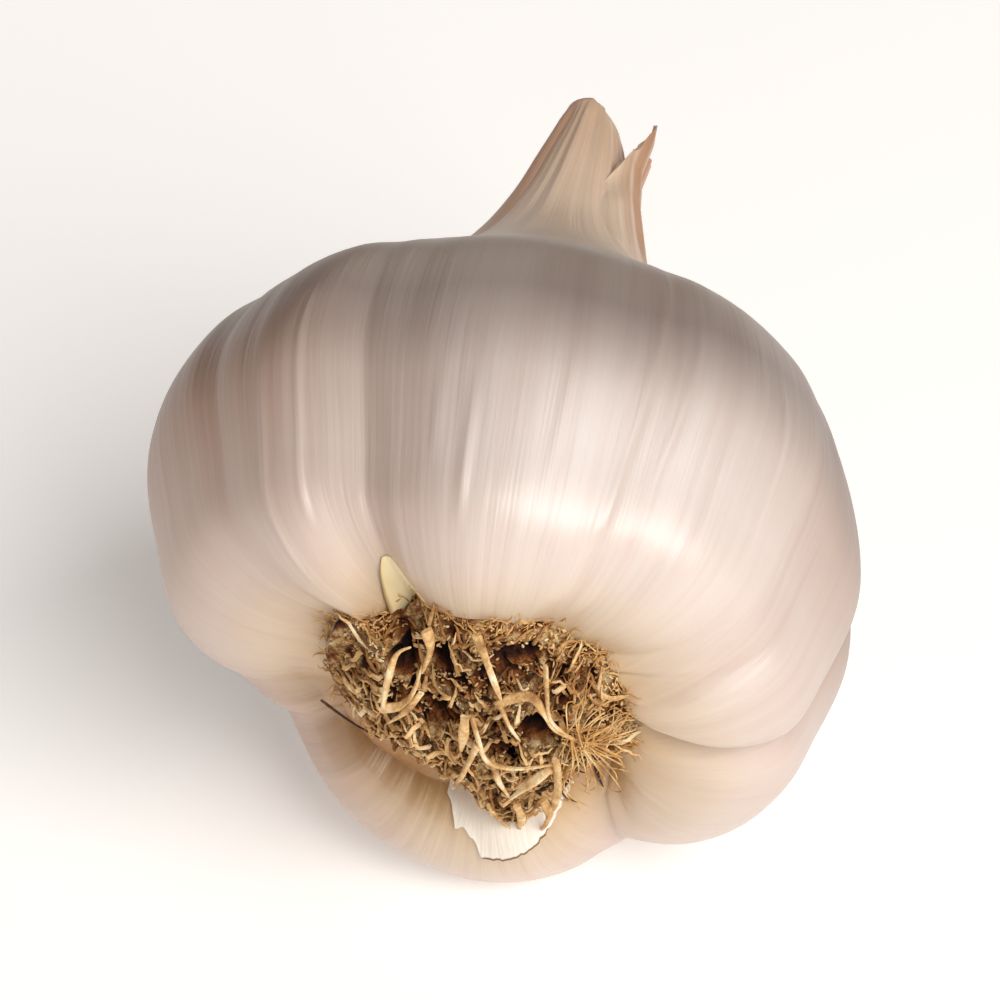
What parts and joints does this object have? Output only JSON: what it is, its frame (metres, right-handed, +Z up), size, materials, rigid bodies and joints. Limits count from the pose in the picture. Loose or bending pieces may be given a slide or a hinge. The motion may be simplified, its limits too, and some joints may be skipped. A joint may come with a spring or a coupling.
{
  "type": "garlic bulb",
  "caption": "Whole dried head of garlic lying on its side, with papery skin over the cloves, a cut neck and a tuft of dried roots.",
  "frame": {"origin": "under the middle of the outline, on the surface that the head lies on", "axes": "+Z up; +Y from the root end towards the neck, seen from above; +X to the right when looking at the neck from the root end"},
  "size_m": [0.0616, 0.077, 0.0571],
  "materials": {
    "skin": "satin",
    "neck_leaf": "satin",
    "neck_sheath": "matte",
    "root_plate": "matte",
    "root": "matte",
    "skin_scrap": "satin",
    "torn_skin": "satin"
  },
  "bodies": {
    "root": {"bulb": "skin", "neck_leaf": "neck_leaf", "neck_inner_sheath": "neck_sheath", "root_plate": "root_plate", "skin_scrap": "skin_scrap", "torn_skin": "torn_skin", "root_01": "root", "root_02": "root", "root_03": "root", "root_04": "root", "root_05": "root", "root_06": "root", "root_07": "root", "root_08": "root", "root_09": "root", "root_10": "root", "root_11": "root", "root_12": "root", "root_13": "root", "root_14": "root", "root_15": "root", "root_16": "root", "root_17": "root", "root_18": "root", "root_19": "root", "root_20": "root", "root_21": "root", "root_22": "root", "root_23": "root", "root_24": "root", "root_25": "root", "root_26": "root", "root_27": "root", "root_28": "root", "root_29": "root", "root_30": "root", "root_31": "root", "root_32": "root", "root_33": "root", "root_34": "root", "root_35": "root", "root_36": "root"}
  },
  "joints": []
}
